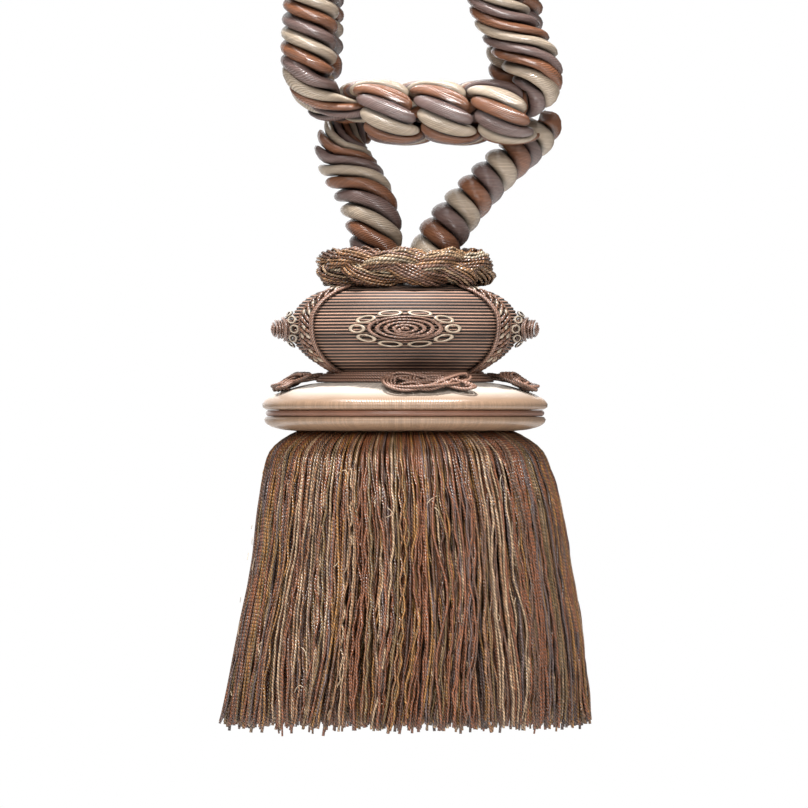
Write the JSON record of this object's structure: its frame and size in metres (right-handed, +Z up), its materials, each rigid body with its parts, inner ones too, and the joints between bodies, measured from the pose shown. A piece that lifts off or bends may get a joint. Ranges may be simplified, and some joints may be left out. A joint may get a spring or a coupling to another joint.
{
  "type": "curtain tieback tassel",
  "caption": "Curtain tieback tassel: thick twisted rope loops knotted over a trimmed, covered head with a bell of cut fringe.",
  "frame": {"origin": "the inner top of the two rope loops, where they hang on a hook, on the middle of the tassel", "axes": "+Z up along the tassel's length, -Y towards the front, where the knot's three turns show, +X to the right"},
  "size_m": [0.1778, 0.1778, 0.4992],
  "materials": {
    "rope": "satin rayon strands in mauve, copper brown and cream",
    "ruff": "plaited yarn bundles in browns and beige",
    "ball": "wound gimp cord with a soft sheen",
    "braid": "chequered braid between cords",
    "flower": "fine plied cord in cream and brown",
    "floss": "glossy cream floss laid outwards from the middle",
    "satin": "brown satin winding",
    "fringe": "shiny cut yarns in mixed browns, gold, mauve and beige"
  },
  "bodies": {
    "root": {"rope_loop_front": "rope", "rope_loop_back": "rope", "rope_end_front_left": "rope", "rope_end_front_right": "rope", "rope_end_back_left": "rope", "rope_end_back_right": "rope", "rope_wraps": "rope", "rope_leg_left": "rope", "rope_leg_right": "rope", "ruff": "ruff", "head_ball": "ball", "head_band_1": "braid", "head_band_2": "braid", "head_band_3": "braid", "head_band_4": "braid", "medallion_front": "flower", "medallion_right": "flower", "medallion_back": "flower", "medallion_left": "flower", "collar_cord": "flower", "collar_knot_front": "flower", "collar_knot_right": "flower", "collar_knot_back": "flower", "collar_knot_left": "flower", "disc": "floss", "groove_band": "satin", "skirt": "fringe"}
  },
  "joints": []
}
